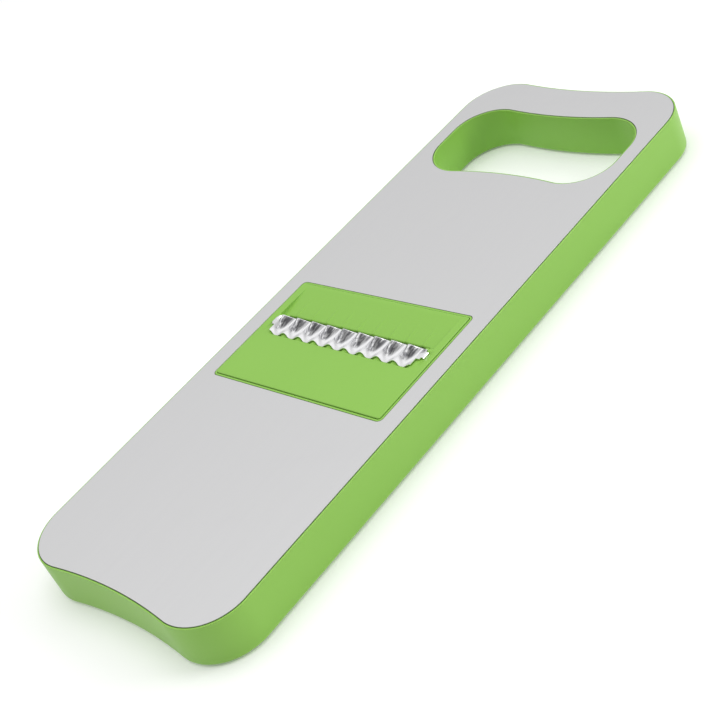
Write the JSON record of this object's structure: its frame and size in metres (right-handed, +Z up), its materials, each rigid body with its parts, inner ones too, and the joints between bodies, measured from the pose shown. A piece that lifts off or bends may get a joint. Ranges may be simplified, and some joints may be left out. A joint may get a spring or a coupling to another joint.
{
  "type": "mandoline slicer",
  "caption": "Flat hand-held vegetable slicer: waved-end board with a steel plate, a four-finger handle hole and a lift-out insert with a toothed shredding blade.",
  "frame": {"origin": "on the surface that the slicer stands on, under the middle of its bounding box", "axes": "+Z up out of the steel plate, +Y along the slicer towards its handle hole, +X across it"},
  "size_m": [0.1086, 0.3022, 0.0234],
  "materials": {
    "green_plastic": "satin moulded lime green plastic",
    "core_plastic": "plain moulded pale plastic",
    "bond_film": "pale adhesive film",
    "plate_steel": "satin stainless steel sheet",
    "blade_steel": "polished stainless steel strip",
    "screw_steel": "stainless steel",
    "foot_rubber": "matte grey rubber"
  },
  "bodies": {
    "slicer_body": {"body_tub": "green_plastic", "support_core": "core_plastic", "plate_bond_film": "bond_film", "top_plate": "plate_steel", "core_screw_1": "screw_steel", "core_screw_2": "screw_steel", "core_screw_3": "screw_steel", "core_screw_4": "screw_steel", "core_screw_5": "screw_steel", "core_screw_6": "screw_steel", "foot_1": "foot_rubber", "foot_2": "foot_rubber", "foot_3": "foot_rubber", "foot_4": "foot_rubber"},
    "insert": {"insert_frame": "green_plastic", "blade": "blade_steel"}
  },
  "joints": [
    {"name": "insert_lift", "type": "slide", "parent": "slicer_body", "child": "insert", "axis": [0, 0, 1], "range_m": [0, 0.04]}
  ]
}
